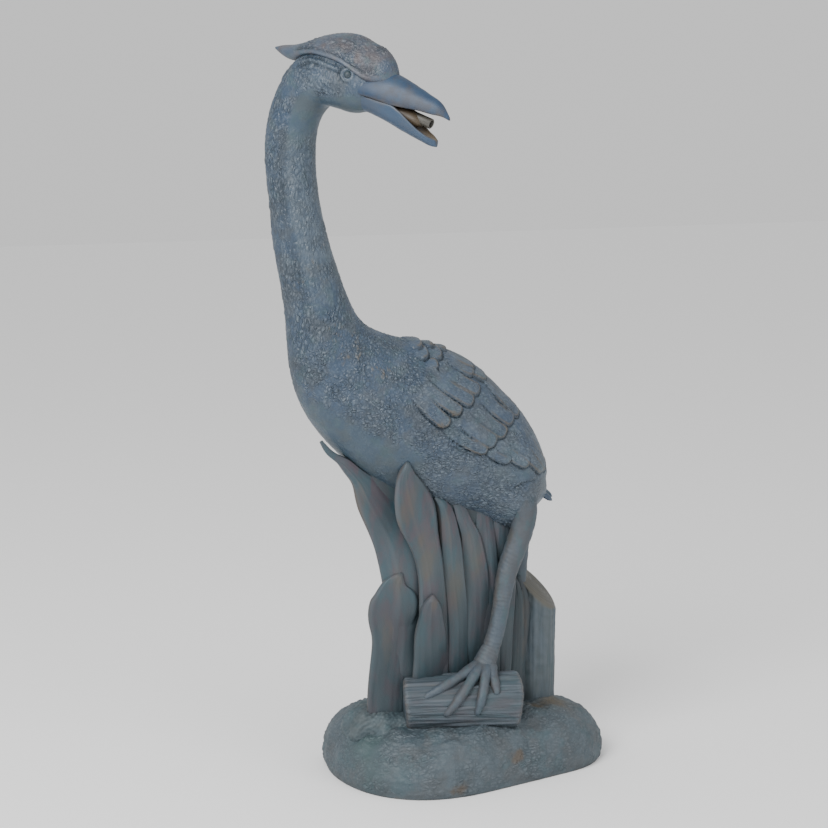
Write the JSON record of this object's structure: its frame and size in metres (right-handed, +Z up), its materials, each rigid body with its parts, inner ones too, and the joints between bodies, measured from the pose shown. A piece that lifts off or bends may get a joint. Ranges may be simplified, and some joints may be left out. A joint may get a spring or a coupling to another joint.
{
  "type": "heron pond spitter",
  "caption": "Standing heron fountain figure in painted cast resin, on a log among reeds on a rock base, with a water tube in its open beak.",
  "frame": {"origin": "middle of the flat underside of the rock base, on the ground", "axes": "+Z up through the bird's height, +X along the rock base towards the tail and the stump, -Y towards the side that carries the log"},
  "size_m": [0.3551, 0.2523, 0.7415],
  "materials": {
    "painted_resin": "slate-blue patina paint with brown and green rubs, satin",
    "nylon_tube": "grey extruded tube, satin",
    "moulded_nylon": "moulded, satin"
  },
  "bodies": {
    "root": {"heron_statue": "painted_resin", "water_nozzle": "nylon_tube", "hose_inlet": "moulded_nylon"}
  },
  "joints": []
}
